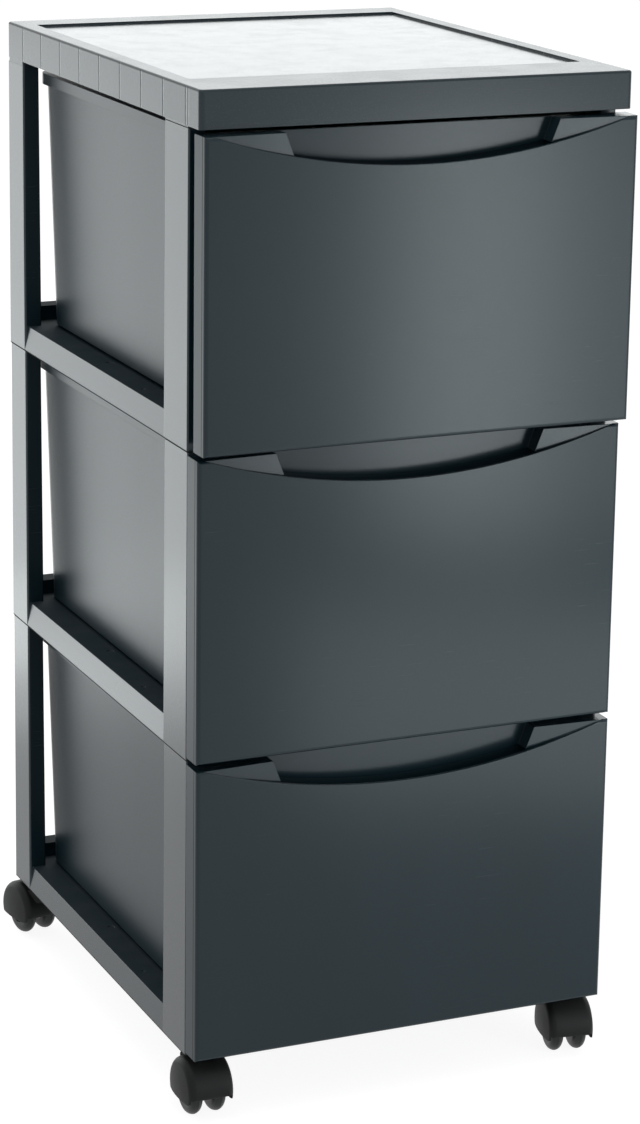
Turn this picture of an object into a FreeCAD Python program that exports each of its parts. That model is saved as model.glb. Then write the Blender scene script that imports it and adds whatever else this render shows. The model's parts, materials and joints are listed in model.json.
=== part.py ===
"""Drawer tower in moulded plastic: a lid, three stacking frames, three sliding drawers and four castors.

Millimetres, +Z up, the front faces -Y. The origin is on the floor under the middle of the whole part.
Working places in Y are measured back from the front face of the lid and moved to the origin at the end.
"""

import FreeCAD
import Part
import math
import os

from FreeCAD import Vector

# The tower as a whole
TOWER_WIDTH = 290.0
LID_DEPTH = 360.0
TIER_PITCH = 199.5
TIER_NAMES = ("bottom", "middle", "top")
FACE_SETBACK = 0.8
SLIDE_GAP = 0.3
FRONT_TO_POST_GAP = 0.5
CUT_OVERRUN = 5.0

# Castors: twin wheels under a hood
WHEEL_DIAMETER = 30.0
WHEEL_WIDTH = 10.4
WHEEL_TREAD_RADIUS = 4.8
WHEEL_TREAD_STEPS = 3
WHEEL_DISH_DEPTH = 1.5
WHEEL_DISH_RIM = 3.4
WHEEL_HUB_DIAMETER = 9.0
AXLE_DIAMETER = 4.0
AXLE_RUNNING_GAP = 0.05
WEB_THICKNESS = 5.5
WHEEL_SIDE_GAP = 0.6
HOOD_WALL = 2.6
HOOD_GAP = 2.9
HOOD_RISE = 3.0
HOOD_EDGE_RADIUS = 4.5
HOOD_EDGE_STEPS = 4
CHEEK_FLOOR_CLEARANCE = 11.0
HOOD_LIP_OVER_AXLE = 1.5
AXLE_BOSS_WALL = 1.8
CASTOR_TRAIL = 11.0
CASTOR_HEIGHT = 41.3
COLLAR_DIAMETER = 15.0
COLLAR_SINK = 6.0
STEM_DIAMETER = 8.0
STEM_RUNNING_GAP = 0.05
STEM_GRIP_DEPTH = 6.0
STEM_TIP_CHAMFER = 1.0
STEM_INSET_SIDE = 12.5
STEM_INSET_FRONT = 33.0
STEM_INSET_BACK = 17.5
CASTOR_REST_TURN = 10.0

# Frames: one moulding per tier, four hollow posts on a ring of rails
POST_THICKNESS = 12.4
FRONT_POST_DEPTH = 41.0
BACK_POST_DEPTH = 32.5
FRAME_BACK_OVERHANG = 1.0
POST_CORNER_RADIUS = 1.2
MOULD_DRAFT = 0.5
FRAME_WALL = 2.2
SPIGOT_HEIGHT = 9.0
SPIGOT_GAP = 0.25
RAIL_HEIGHT = 17.0
RAIL_LEAN = 2.5
LEDGE_INNER_DROP = 12.0
LEDGE_OVERLAP = 10.0
FRONT_RAIL_DEPTH = 14.0
FRONT_RAIL_SETBACK = 1.5
BACK_RAIL_HEIGHT = 27.0
BACK_RAIL_DEPTH = 15.0
SOCKET_WALL = 4.0
SOCKET_DEPTH = 13.0
LEDGE_MARK_DIAMETER = 5.0
SMALL_MARK_DIAMETER = 3.0
LEDGE_MARK_DEPTH = 0.4
LEDGE_MARK_INSET = 3.4
SMALL_MARK_OVERHANG = 3.0
LEDGE_MARK_DEPTH_SHARE = 0.556
SMALL_MARK_DEPTH_SHARE = 0.31
BACK_NECK_EXTRA = 2.0

# Lid: a skirted tray on four hollow corner legs
LID_SKIRT_HEIGHT = 24.0
LID_NECK_HEIGHT = 1.0
LID_WALL = 2.2
LID_PLATE = 2.4
LID_CORNER_RADIUS = 3.0
LID_EDGE_RADIUS = 1.5
TRAY_DEPTH = 1.5
TRAY_SIDE_RIM = 12.0
TRAY_FRONT_RIM = 48.0
TRAY_BACK_RIM = 26.0
TRAY_CORNER_RADIUS = 1.5
LID_RIB_DEPTH = 8.0
LID_RIB_PITCH = 38.0
LID_RIB_COUNT = 6

# Drawers: a bin with a rolled rim behind a moulded front
FRONT_BOTTOM_GAP = 2.5
FRONT_TOP_GAP = 2.0
FRONT_WALL = 2.6
FRONT_EDGE_RADIUS = 2.4
FRONT_RIB_COUNT = 4
FRONT_RIB_WALL = 1.6
FRONT_RIB_END_GAP = 14.0
BIN_FIT_GAP = 0.3
SCOOP_END_INSET = 5.0
SCOOP_DEPTH = 23.0
POCKET_HALF_WIDTH = 92.0
POCKET_END_LEAN = 9.0
POCKET_DEPTH = 14.6
POCKET_WALL = 1.4
FINGER_REACH = 42.0
FACET_OUTER_RECESS = 0.8
FACET_INNER_RECESS = 4.0
FACET_WALL = 2.0
BIN_WALL = 1.8
BIN_FOOT_TO_POST = 8.1
BIN_SIDE_FLARE = 4.0
BIN_BACK_GAP = 2.6
BIN_BACK_FLARE = 4.5
BIN_BACK_RADIUS = 16.0
BIN_FRONT_RADIUS = 3.0
RIM_DROP = 4.5
RIM_HEIGHT = 7.5
RIM_TO_POST_GAP = 0.6
RIM_WALL = 1.6
RUNNER_HEIGHT = 2.0
RUNNER_WIDTH = 3.0
TOP_DRAWER_OPEN = 10.0

# Heights of the seams between the mouldings, measured from the floor
SEAMS = [CASTOR_HEIGHT + tier * TIER_PITCH for tier in range(len(TIER_NAMES) + 1)]
LID_TOP = SEAMS[-1] + LID_NECK_HEIGHT + LID_SKIRT_HEIGHT

# Depth places of the frame, behind the closed drawer fronts
FRONT_DEPTH = POCKET_DEPTH + POCKET_WALL + BIN_WALL
POST_FRONT = FACE_SETBACK + FRONT_DEPTH + FRONT_TO_POST_GAP
FRAME_BACK = LID_DEPTH + FRAME_BACK_OVERHANG
BACK_POST_FRONT = FRAME_BACK - BACK_POST_DEPTH
BACK_RAIL_FRONT = FRAME_BACK - BACK_RAIL_DEPTH
HALF_WIDTH = TOWER_WIDTH / 2
POST_INNER = HALF_WIDTH - POST_THICKNESS
BIN_FOOT_HALF_WIDTH = POST_INNER - BIN_FOOT_TO_POST
RIM_WIDTH = BIN_FOOT_TO_POST - BIN_SIDE_FLARE - RIM_TO_POST_GAP
SCOOP_HALF_WIDTH = HALF_WIDTH - SCOOP_END_INSET
LEDGE_INNER = BIN_FOOT_HALF_WIDTH - LEDGE_OVERLAP

# Castor places
AXLE_HEIGHT = WHEEL_DIAMETER / 2
HOOD_CENTRE = AXLE_HEIGHT + HOOD_RISE
HOOD_RADIUS = WHEEL_DIAMETER / 2 + HOOD_GAP + HOOD_WALL
WELL_WIDTH = WHEEL_WIDTH + 2 * WHEEL_SIDE_GAP
HOOD_WIDTH = WEB_THICKNESS + 2 * WELL_WIDTH + 2 * HOOD_WALL
STEM_X = HALF_WIDTH - STEM_INSET_SIDE
STEM_Y = {"front": STEM_INSET_FRONT, "back": FRAME_BACK - STEM_INSET_BACK}
COLLAR_TOP = CASTOR_HEIGHT - SLIDE_GAP


def hood_reach(turn):
    """Return how far a hood reaches from its middle along Y when it is turned about Z."""
    angle = math.radians(turn)
    length = HOOD_RADIUS - HOOD_EDGE_RADIUS
    width = HOOD_WIDTH / 2 - HOOD_EDGE_RADIUS
    return length * math.cos(angle) + width * math.sin(angle) + HOOD_EDGE_RADIUS


# The middle of the part in Y lies between the open top drawer and the back hoods
TURNED_TRAIL = CASTOR_TRAIL * math.cos(math.radians(CASTOR_REST_TURN))
BACK_MOST = STEM_Y["back"] + TURNED_TRAIL + hood_reach(CASTOR_REST_TURN)
FRONT_MOST = FACE_SETBACK - TOP_DRAWER_OPEN
ORIGIN_Y = (FRONT_MOST + BACK_MOST) / 2


def box(x_span, y_span, z_span):
    """Return a box between two limits on each axis."""
    corner = Vector(x_span[0], y_span[0], z_span[0])
    return Part.makeBox(x_span[1] - x_span[0], y_span[1] - y_span[0], z_span[1] - z_span[0], corner)


def rounded_outline(x_span, y_span, z, front_radius, back_radius):
    """Return a closed level outline with one radius on its two front corners and one on its two back ones."""
    (left, right), (front, back) = x_span, y_span
    corners = (
        (left, front, 1, 1, front_radius, 180),
        (right, front, -1, 1, front_radius, 270),
        (right, back, -1, -1, back_radius, 0),
        (left, back, 1, -1, back_radius, 90),
    )
    arcs = []
    for corner_x, corner_y, inward_x, inward_y, radius, start in corners:
        centre = Vector(corner_x + inward_x * radius, corner_y + inward_y * radius, z)
        circle = Part.Circle(centre, Vector(0, 0, 1), radius)
        arcs.append(Part.ArcOfCircle(circle, math.radians(start), math.radians(start + 90)))
    edges = []
    for arc, following in zip(arcs, arcs[1:] + arcs[:1]):
        edges.append(arc.toShape())
        edges.append(Part.LineSegment(arc.EndPoint, following.StartPoint).toShape())
    return Part.Wire(edges)


def loft(*outlines):
    """Return the straight-sided solid through level outlines."""
    return Part.makeLoft(list(outlines), True, True)


def tapered_block(x_span, y_span, z_span, inset, radius):
    """Return a block with rounded upright edges whose top is smaller by the inset on every side."""
    top_x = (x_span[0] + inset, x_span[1] - inset)
    top_y = (y_span[0] + inset, y_span[1] - inset)
    foot = rounded_outline(x_span, y_span, z_span[0], radius, radius)
    head = rounded_outline(top_x, top_y, z_span[1], radius, radius)
    return loft(foot, head)


def prism_along_y(points, y_span):
    """Return a polygon given in X and Z, drawn out along Y."""
    start = [Vector(x, y_span[0], z) for x, z in points]
    face = Part.Face(Part.makePolygon(start + start[:1]))
    return face.extrude(Vector(0, y_span[1] - y_span[0], 0))


def prism_along_z(points, z_span):
    """Return a polygon given in X and Y, drawn out along Z."""
    start = [Vector(x, y, z_span[0]) for x, y in points]
    face = Part.Face(Part.makePolygon(start + start[:1]))
    return face.extrude(Vector(0, 0, z_span[1] - z_span[0]))


def drum(radius, x_span, y, z):
    """Return a cylinder that lies along X."""
    return Part.makeCylinder(radius, x_span[1] - x_span[0], Vector(x_span[0], y, z), Vector(1, 0, 0))


def turned_drum(radius, x_span, z, edge_radius, steps):
    """Return a drum along X over Y 0, turned from a profile whose two edges are rounded in flat steps."""
    left, right = x_span
    points = [Vector(left, 0, z)]
    for centre_x, start in ((left + edge_radius, math.pi), (right - edge_radius, math.pi / 2)):
        for step in range(steps + 1):
            angle = start - math.pi / 2 * step / steps
            reach = radius - edge_radius + edge_radius * math.sin(angle)
            points.append(Vector(centre_x + edge_radius * math.cos(angle), 0, z + reach))
    points.append(Vector(right, 0, z))
    profile = Part.Face(Part.makePolygon(points + points[:1]))
    return profile.revolve(Vector(0, 0, z), Vector(1, 0, 0), 360)


def pillar(radius, x, y, z_span):
    """Return an upright cylinder."""
    return Part.makeCylinder(radius, z_span[1] - z_span[0], Vector(x, y, z_span[0]))


def united(shapes):
    """Return the shapes as one clean solid."""
    return shapes[0].fuse(shapes[1:]).removeSplitter()


def both_sides(shape):
    """Return the shape and its mirror image across the middle of the tower."""
    return [shape, shape.mirror(Vector(0, 0, 0), Vector(1, 0, 0))]


def edges_where(shape, wanted):
    """Return the edges of a shape whose bounding box passes a test."""
    return [edge for edge in shape.Edges if wanted(edge.BoundBox)]


def post_spans(place):
    """Return the footprint of the left post at the front or at the back."""
    x_span = (-HALF_WIDTH, -POST_INNER)
    if place == "front":
        return x_span, (POST_FRONT, POST_FRONT + FRONT_POST_DEPTH)
    return x_span, (BACK_POST_FRONT, FRAME_BACK)


def shrunk(spans, amount):
    """Return a footprint made smaller by an amount on every side."""
    return tuple((low + amount, high - amount) for low, high in spans)


def post(place, bottom, top):
    """Return the left hollow post, drawn in from the moulding's foot, with its spigot on top."""
    spans = post_spans(place)
    outer = tapered_block(*spans, (bottom, top), MOULD_DRAFT, POST_CORNER_RADIUS)
    core = shrunk(spans, FRAME_WALL)
    spigot = shrunk(core, MOULD_DRAFT + SPIGOT_GAP)
    plug = tapered_block(*spigot, (top - FRAME_WALL, top + SPIGOT_HEIGHT), MOULD_DRAFT, POST_CORNER_RADIUS)
    return outer, plug


def post_core(place, bottom, top):
    """Return the hollow inside a left post, open at its foot."""
    core = shrunk(post_spans(place), FRAME_WALL)
    hollow = tapered_block(*core, (bottom, top - FRAME_WALL), MOULD_DRAFT, POST_CORNER_RADIUS)
    mouth = box(*core, (bottom - CUT_OVERRUN, bottom))
    return hollow.fuse(mouth)


def side_rail(bottom):
    """Return the left rail: a leaning outer wall, the ledge that carries the drawer, and an inner lip."""
    top = bottom + RAIL_HEIGHT
    lip = top - LEDGE_INNER_DROP
    lean_inside = RAIL_LEAN * (RAIL_HEIGHT - FRAME_WALL) / RAIL_HEIGHT
    channel = [
        (-HALF_WIDTH, bottom),
        (-HALF_WIDTH + RAIL_LEAN, top),
        (-LEDGE_INNER, top),
        (-LEDGE_INNER, lip),
        (-LEDGE_INNER - FRAME_WALL, lip),
        (-LEDGE_INNER - FRAME_WALL, top - FRAME_WALL),
        (-HALF_WIDTH + lean_inside + FRAME_WALL, top - FRAME_WALL),
        (-HALF_WIDTH + FRAME_WALL, bottom),
    ]
    between_posts = (POST_FRONT + FRONT_POST_DEPTH - FRAME_WALL, BACK_POST_FRONT + FRAME_WALL)
    outer = prism_along_y(channel, between_posts)
    seat = [
        (-POST_INNER - FRAME_WALL / 2, top),
        (-LEDGE_INNER, top),
        (-LEDGE_INNER, lip),
        (-LEDGE_INNER - FRAME_WALL, lip),
        (-LEDGE_INNER - FRAME_WALL, top - FRAME_WALL),
        (-POST_INNER - FRAME_WALL / 2, top - FRAME_WALL),
    ]
    whole_depth = (POST_FRONT + FRONT_RAIL_SETBACK, BACK_RAIL_FRONT + FRAME_WALL)
    return [outer, prism_along_y(seat, whole_depth)]


def cross_rail(y_span, bottom, height):
    """Return a rail between the posts, hollow from below."""
    reach = POST_INNER + FRAME_WALL / 2
    solid = box((-reach, reach), y_span, (bottom, bottom + height))
    inside_y = (y_span[0] + FRAME_WALL, y_span[1] - FRAME_WALL)
    inside_z = (bottom - CUT_OVERRUN, bottom + height - FRAME_WALL)
    return solid.cut(box((-POST_INNER, POST_INNER), inside_y, inside_z))


def stem_socket(place, bottom):
    """Return the boss that holds a castor stem on the left, and its bore."""
    radius = STEM_DIAMETER / 2 + SOCKET_WALL
    boss = pillar(radius, -STEM_X, STEM_Y[place], (bottom, bottom + RAIL_HEIGHT))
    bore_top = bottom + SOCKET_DEPTH
    bore_radius = STEM_DIAMETER / 2 + STEM_RUNNING_GAP
    bore = pillar(bore_radius, -STEM_X, STEM_Y[place], (bottom - CUT_OVERRUN, bore_top))
    return boss, bore


def ledge_marks(bottom):
    """Return the two shallow round marks that the mould's pins leave on the left ledge."""
    top = bottom + RAIL_HEIGHT
    marks = []
    for diameter, x, share in (
        (LEDGE_MARK_DIAMETER, -POST_INNER + LEDGE_MARK_INSET, LEDGE_MARK_DEPTH_SHARE),
        (SMALL_MARK_DIAMETER, -POST_INNER - SMALL_MARK_OVERHANG, SMALL_MARK_DEPTH_SHARE),
    ):
        y = POST_FRONT + share * (BACK_RAIL_FRONT - POST_FRONT)
        marks.append(pillar(diameter / 2, x, y, (top - LEDGE_MARK_DEPTH, top + CUT_OVERRUN)))
    return marks


def frame(tier):
    """Return one frame moulding: posts, side rails, front and back rails, and sockets in the lowest one."""
    bottom = SEAMS[tier]
    is_top = tier == len(TIER_NAMES) - 1
    front_top = SEAMS[tier + 1]
    back_top = front_top - BACK_NECK_EXTRA if is_top else front_top
    left = list(side_rail(bottom))
    cores = []
    for place, top in (("front", front_top), ("back", back_top)):
        left.extend(post(place, bottom, top))
        cores.append(post_core(place, bottom, top))
    shapes = [piece for shape in left for piece in both_sides(shape)]
    front_rail_y = (POST_FRONT + FRONT_RAIL_SETBACK, POST_FRONT + FRONT_RAIL_SETBACK + FRONT_RAIL_DEPTH)
    shapes.append(cross_rail(front_rail_y, bottom, RAIL_HEIGHT))
    shapes.append(cross_rail((BACK_RAIL_FRONT, FRAME_BACK - MOULD_DRAFT), bottom, BACK_RAIL_HEIGHT))
    body = united(shapes)
    cuts = cores + ledge_marks(bottom)
    body = body.cut([piece for cut in cuts for piece in both_sides(cut)])
    if tier == 0:
        sockets = [stem_socket(place, bottom) for place in STEM_Y]
        bosses = [piece for boss, _ in sockets for piece in both_sides(boss)]
        body = united([body] + bosses)
        body = body.cut([piece for _, bore in sockets for piece in both_sides(bore)])
    return body


def lid():
    """Return the lid: a skirt, a sunk tray on top, stiffening ribs, and four hollow legs on the spigots."""
    skirt_foot = LID_TOP - LID_SKIRT_HEIGHT
    across = (-HALF_WIDTH, HALF_WIDTH)
    outline = rounded_outline(across, (0, LID_DEPTH), skirt_foot, LID_CORNER_RADIUS, LID_CORNER_RADIUS)
    solid = Part.Face(outline).extrude(Vector(0, 0, LID_SKIRT_HEIGHT))
    solid = solid.makeFillet(LID_EDGE_RADIUS, edges_where(solid, lambda b: b.ZMin > LID_TOP - LID_WALL))
    plate_foot = LID_TOP - TRAY_DEPTH - LID_PLATE
    inside = shrunk((across, (0, LID_DEPTH)), LID_WALL)
    hollow = box(*inside, (skirt_foot - CUT_OVERRUN, plate_foot))
    tray_x = (-HALF_WIDTH + TRAY_SIDE_RIM, HALF_WIDTH - TRAY_SIDE_RIM)
    tray_y = (TRAY_FRONT_RIM, LID_DEPTH - TRAY_BACK_RIM)
    tray_floor = rounded_outline(tray_x, tray_y, LID_TOP - TRAY_DEPTH, TRAY_CORNER_RADIUS, TRAY_CORNER_RADIUS)
    tray = Part.Face(tray_floor).extrude(Vector(0, 0, TRAY_DEPTH + CUT_OVERRUN))
    shell = solid.cut([hollow, tray])
    ribs = []
    between_legs = (POST_FRONT + FRONT_POST_DEPTH + BACK_POST_FRONT) / 2
    for index in range(LID_RIB_COUNT):
        middle = between_legs + (index - (LID_RIB_COUNT - 1) / 2) * LID_RIB_PITCH
        rib_y = (middle - LID_WALL / 2, middle + LID_WALL / 2)
        ribs.append(box(shrunk((across,), LID_WALL / 2)[0], rib_y, (plate_foot - LID_RIB_DEPTH, plate_foot)))
    legs, sockets = [], []
    for place, foot in (("front", SEAMS[-1]), ("back", SEAMS[-1] - BACK_NECK_EXTRA)):
        leg = shrunk(post_spans(place), MOULD_DRAFT)
        leg = (leg[0], (leg[1][0], min(leg[1][1], LID_DEPTH - LID_WALL / 2)))
        outline = rounded_outline(*leg, foot, POST_CORNER_RADIUS, POST_CORNER_RADIUS)
        legs.append(Part.Face(outline).extrude(Vector(0, 0, plate_foot - foot)))
        socket_x, socket_y = shrunk(post_spans(place), FRAME_WALL)
        socket_top = foot + SPIGOT_HEIGHT + SPIGOT_GAP + FRAME_WALL
        sockets.append(box(socket_x, socket_y, (foot - CUT_OVERRUN, socket_top)))
    added = [piece for leg in legs for piece in both_sides(leg)]
    body = united([shell] + ribs + added)
    return body.cut([piece for socket in sockets for piece in both_sides(socket)])


def front_places(tier):
    """Return the face place in Y and the height limits of a drawer front at rest."""
    is_top = tier == len(TIER_NAMES) - 1
    face = FACE_SETBACK - (TOP_DRAWER_OPEN if is_top else 0)
    return face, (SEAMS[tier] + FRONT_BOTTOM_GAP, SEAMS[tier + 1] - FRONT_TOP_GAP)


def scoop_region(top, y_span):
    """Return the block between the scoop's arc and a level just over the front's top edge."""
    left = Vector(-SCOOP_HALF_WIDTH, y_span[0], top)
    right = Vector(SCOOP_HALF_WIDTH, y_span[0], top)
    low = Vector(0, y_span[0], top - SCOOP_DEPTH)
    rise = Vector(0, 0, CUT_OVERRUN)
    edges = [
        Part.Arc(left, low, right).toShape(),
        Part.LineSegment(right, right + rise).toShape(),
        Part.LineSegment(right + rise, left + rise).toShape(),
        Part.LineSegment(left + rise, left).toShape(),
    ]
    face = Part.Face(Part.Wire(edges))
    return face.extrude(Vector(0, y_span[1] - y_span[0], 0))


def pocket_window(top, widening, y_span):
    """Return the block of the finger pocket, whose ends lean inwards towards the foot of the scoop."""
    slope = POCKET_END_LEAN / SCOOP_DEPTH
    foot = top - SCOOP_DEPTH - CUT_OVERRUN
    head = top + CUT_OVERRUN
    head_half = POCKET_HALF_WIDTH + widening + slope * CUT_OVERRUN
    foot_half = POCKET_HALF_WIDTH - POCKET_END_LEAN + widening - slope * CUT_OVERRUN
    points = [(-head_half, head), (head_half, head), (foot_half, foot), (-foot_half, foot)]
    return prism_along_y(points, y_span)


def facet_line(face):
    """Return the two ends of the left facet's level line, at the front's end and under the pocket's end."""
    inner_x = -(POCKET_HALF_WIDTH - POCKET_END_LEAN)
    return (-HALF_WIDTH, face + FACET_OUTER_RECESS), (inner_x, face + FACET_INNER_RECESS)


def facet_slab(face, z_span):
    """Return the left slanting slab that carries a facet beside the pocket."""
    outer, inner = facet_line(face)
    points = [outer, inner, (inner[0], inner[1] + FACET_WALL), (outer[0], outer[1] + FACET_WALL)]
    return prism_along_z(points, z_span)


def facet_relief(face, z_span):
    """Return what is cut away before the left facet, as far as the middle of the pocket."""
    outer, inner = facet_line(face)
    points = [(outer[0], face - CUT_OVERRUN), (0, face - CUT_OVERRUN), (0, inner[1]), inner, outer]
    return prism_along_z(points, z_span)


def drawer_front(tier):
    """Return a moulded drawer front: skin, returns, curved scoop with facets, pocket and inner ribs."""
    face, (bottom, top) = front_places(tier)
    back = face + FRONT_DEPTH
    across = (-HALF_WIDTH, HALF_WIDTH)
    solid = box(across, (face, back), (bottom, top))
    solid = solid.makeFillet(FRONT_EDGE_RADIUS, edges_where(solid, lambda b: b.YMax < face + FRONT_WALL / 2))
    hollow_x, hollow_z = shrunk((across, (bottom, top)), FRONT_WALL)
    solid = solid.cut(box(hollow_x, (face + FRONT_WALL, back + CUT_OVERRUN), hollow_z))
    pocket_back = face + POCKET_DEPTH
    before = scoop_region(top, (face - CUT_OVERRUN, pocket_back))
    window = pocket_window(top, 0, (face - CUT_OVERRUN, back + CUT_OVERRUN))
    reliefs = both_sides(facet_relief(face, (bottom, top + CUT_OVERRUN)))
    solid = solid.cut([before.common(window)] + [before.common(relief) for relief in reliefs])

    region = scoop_region(top, (face, pocket_back + POCKET_WALL))
    region = region.common(box(across, (face, back), (bottom, top)))
    wide_window = pocket_window(top, POCKET_WALL, (face + FACET_INNER_RECESS, back))
    ends = region.common(wide_window).cut(window)
    apron_space = box(across, (pocket_back, pocket_back + POCKET_WALL), (bottom, top))
    apron = region.common(apron_space).common(wide_window.fuse(window))
    slabs = both_sides(facet_slab(face, (bottom, top)))
    facets = [region.common(slab).cut(window) for slab in slabs]

    ribs = []
    for index in range(FRONT_RIB_COUNT):
        share = (index + 1) / (FRONT_RIB_COUNT + 1)
        middle = -HALF_WIDTH + share * TOWER_WIDTH
        rib_x = (middle - FRONT_RIB_WALL / 2, middle + FRONT_RIB_WALL / 2)
        rib_y = (face + FRONT_WALL / 2, pocket_back + POCKET_WALL)
        ribs.append(box(rib_x, rib_y, (bottom + FRONT_RIB_END_GAP, top - FINGER_REACH)))
    return united([solid, ends, apron] + facets + ribs)


def bin_outline(y_front, z, grow, wall):
    """Return the bin's outline at a height, grown sideways and back, less a wall."""
    foot_back = BACK_RAIL_FRONT - BIN_BACK_GAP
    half = BIN_FOOT_HALF_WIDTH + grow * BIN_SIDE_FLARE - wall
    back = foot_back + grow * BIN_BACK_FLARE - wall
    return rounded_outline((-half, half), (y_front, back), z, BIN_FRONT_RADIUS, BIN_BACK_RADIUS - wall)


def drawer_bin(tier):
    """Return the bin of a drawer, with its front plate, rolled rim and two runners."""
    face, (bottom, top) = front_places(tier)
    slide = face - FACE_SETBACK
    plate_front = face + POCKET_DEPTH + POCKET_WALL
    plate_back = face + FRONT_DEPTH
    seat = SEAMS[tier] + RAIL_HEIGHT + SLIDE_GAP
    foot = seat + RUNNER_HEIGHT
    rim_top = top - RIM_DROP
    local_front = plate_front - slide

    outer = loft(bin_outline(local_front, foot, 0, 0), bin_outline(local_front, rim_top, 1, 0))
    half_rim = BIN_FOOT_HALF_WIDTH + BIN_SIDE_FLARE + RIM_WIDTH
    back_rim = BACK_RAIL_FRONT - BIN_BACK_GAP + BIN_BACK_FLARE + RIM_WIDTH
    radius = BIN_BACK_RADIUS + RIM_WIDTH
    rim_front = local_front + BIN_WALL + FRONT_TO_POST_GAP / 2
    rim_outline = rounded_outline((-half_rim, half_rim), (rim_front, back_rim), rim_top - RIM_HEIGHT,
                                  BIN_FRONT_RADIUS, radius)
    rim = Part.Face(rim_outline).extrude(Vector(0, 0, RIM_HEIGHT))
    under_x = (-half_rim + RIM_WALL, half_rim - RIM_WALL)
    under_y = (rim_front - CUT_OVERRUN, back_rim - RIM_WALL)
    under = rounded_outline(under_x, under_y, rim_top - RIM_HEIGHT - CUT_OVERRUN,
                            BIN_FRONT_RADIUS, radius - RIM_WALL)
    rim = rim.cut(Part.Face(under).extrude(Vector(0, 0, RIM_HEIGHT + CUT_OVERRUN - RIM_WALL)))

    inner_front = plate_back - slide
    flare_share = BIN_WALL / (rim_top - foot)
    cavity = loft(bin_outline(inner_front, foot + BIN_WALL, flare_share, BIN_WALL),
                  bin_outline(inner_front, rim_top, 1, BIN_WALL))
    head = bin_outline(inner_front, rim_top, 1, BIN_WALL)
    mouth = Part.Face(head).extrude(Vector(0, 0, CUT_OVERRUN))

    runners = []
    middle = LEDGE_INNER + LEDGE_OVERLAP / 2
    runner_back = BACK_RAIL_FRONT - BIN_BACK_GAP - BIN_BACK_RADIUS
    for x in (-middle, middle):
        runner_x = (x - RUNNER_WIDTH / 2, x + RUNNER_WIDTH / 2)
        runners.append(box(runner_x, (local_front + BIN_WALL, runner_back), (seat, foot + BIN_WALL / 2)))
    body = united([outer, rim] + runners).cut([cavity, mouth])
    body.translate(Vector(0, slide, 0))

    gap = FRONT_WALL + BIN_FIT_GAP
    plate = box((-HALF_WIDTH + gap, HALF_WIDTH - gap), (plate_front, plate_back), (bottom + gap, top - gap))
    return united([body, plate])


def castor_housing():
    """Return the hood over two wheels: cheeks below the axle, a web with its boss, the stem's collar."""
    half = HOOD_WIDTH / 2
    shell = turned_drum(HOOD_RADIUS, (-half, half), HOOD_CENTRE, HOOD_EDGE_RADIUS, HOOD_EDGE_STEPS)
    collar_foot = HOOD_CENTRE + HOOD_RADIUS - COLLAR_SINK - COLLAR_DIAMETER / 2
    collar = pillar(COLLAR_DIAMETER / 2, 0, CASTOR_TRAIL, (collar_foot, COLLAR_TOP))
    body = united([shell, collar])
    well_radius = WHEEL_DIAMETER / 2 + HOOD_GAP
    wells = []
    for side in (-1, 1):
        near = side * WEB_THICKNESS / 2
        far = near + side * WELL_WIDTH
        wells.append(drum(well_radius, (min(near, far), max(near, far)), 0, HOOD_CENTRE))
    reach = HOOD_RADIUS + CASTOR_TRAIL + COLLAR_DIAMETER
    below = box((-reach, reach), (-reach, reach), (-CUT_OVERRUN, CHEEK_FLOOR_CLEARANCE))
    lip = AXLE_HEIGHT + HOOD_LIP_OVER_AXLE
    between_cheeks = box((HOOD_WALL - half, half - HOOD_WALL), (-reach, reach), (-CUT_OVERRUN, lip))
    web = (-WEB_THICKNESS / 2, WEB_THICKNESS / 2)
    boss = drum(AXLE_DIAMETER / 2 + AXLE_BOSS_WALL, web, 0, AXLE_HEIGHT)
    body = united([body.cut(wells + [below, between_cheeks]), boss])
    axle_hole = drum(AXLE_DIAMETER / 2, (-half - CUT_OVERRUN, half + CUT_OVERRUN), 0, AXLE_HEIGHT)
    grip = (COLLAR_TOP - STEM_GRIP_DEPTH, COLLAR_TOP + CUT_OVERRUN)
    stem_hole = pillar(STEM_DIAMETER / 2, 0, CASTOR_TRAIL, grip)
    return body.cut([axle_hole, stem_hole])


def castor_stem():
    """Return the steel stem that turns in its socket."""
    foot = COLLAR_TOP - STEM_GRIP_DEPTH
    top = CASTOR_HEIGHT + SOCKET_DEPTH - SLIDE_GAP
    stem = pillar(STEM_DIAMETER / 2, 0, CASTOR_TRAIL, (foot, top))
    return stem.makeChamfer(STEM_TIP_CHAMFER, edges_where(stem, lambda b: b.ZMin > top - STEM_TIP_CHAMFER))


def castor_axle():
    """Return the pin across the hood that both wheels turn on."""
    half = HOOD_WIDTH / 2 - HOOD_WALL / 2
    return drum(AXLE_DIAMETER / 2, (-half, half), 0, AXLE_HEIGHT)


def castor_wheel(side):
    """Return one wheel with a rounded tread and a dished outer face."""
    near = WEB_THICKNESS / 2 + WHEEL_SIDE_GAP
    span = (near, near + WHEEL_WIDTH)
    wheel = turned_drum(WHEEL_DIAMETER / 2, span, AXLE_HEIGHT, WHEEL_TREAD_RADIUS, WHEEL_TREAD_STEPS)
    bore = drum(AXLE_DIAMETER / 2 + AXLE_RUNNING_GAP, (0, HOOD_WIDTH), 0, AXLE_HEIGHT)
    outer_face = near + WHEEL_WIDTH
    dish_radius = WHEEL_DIAMETER / 2 - WHEEL_TREAD_RADIUS - WHEEL_DISH_RIM
    dish_x = (outer_face - WHEEL_DISH_DEPTH, outer_face + CUT_OVERRUN)
    dish = drum(dish_radius, dish_x, 0, AXLE_HEIGHT).cut(drum(WHEEL_HUB_DIAMETER / 2, dish_x, 0, AXLE_HEIGHT))
    wheel = wheel.cut([bore, dish])
    if side == "left":
        return wheel.mirror(Vector(0, 0, 0), Vector(1, 0, 0))
    return wheel


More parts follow.
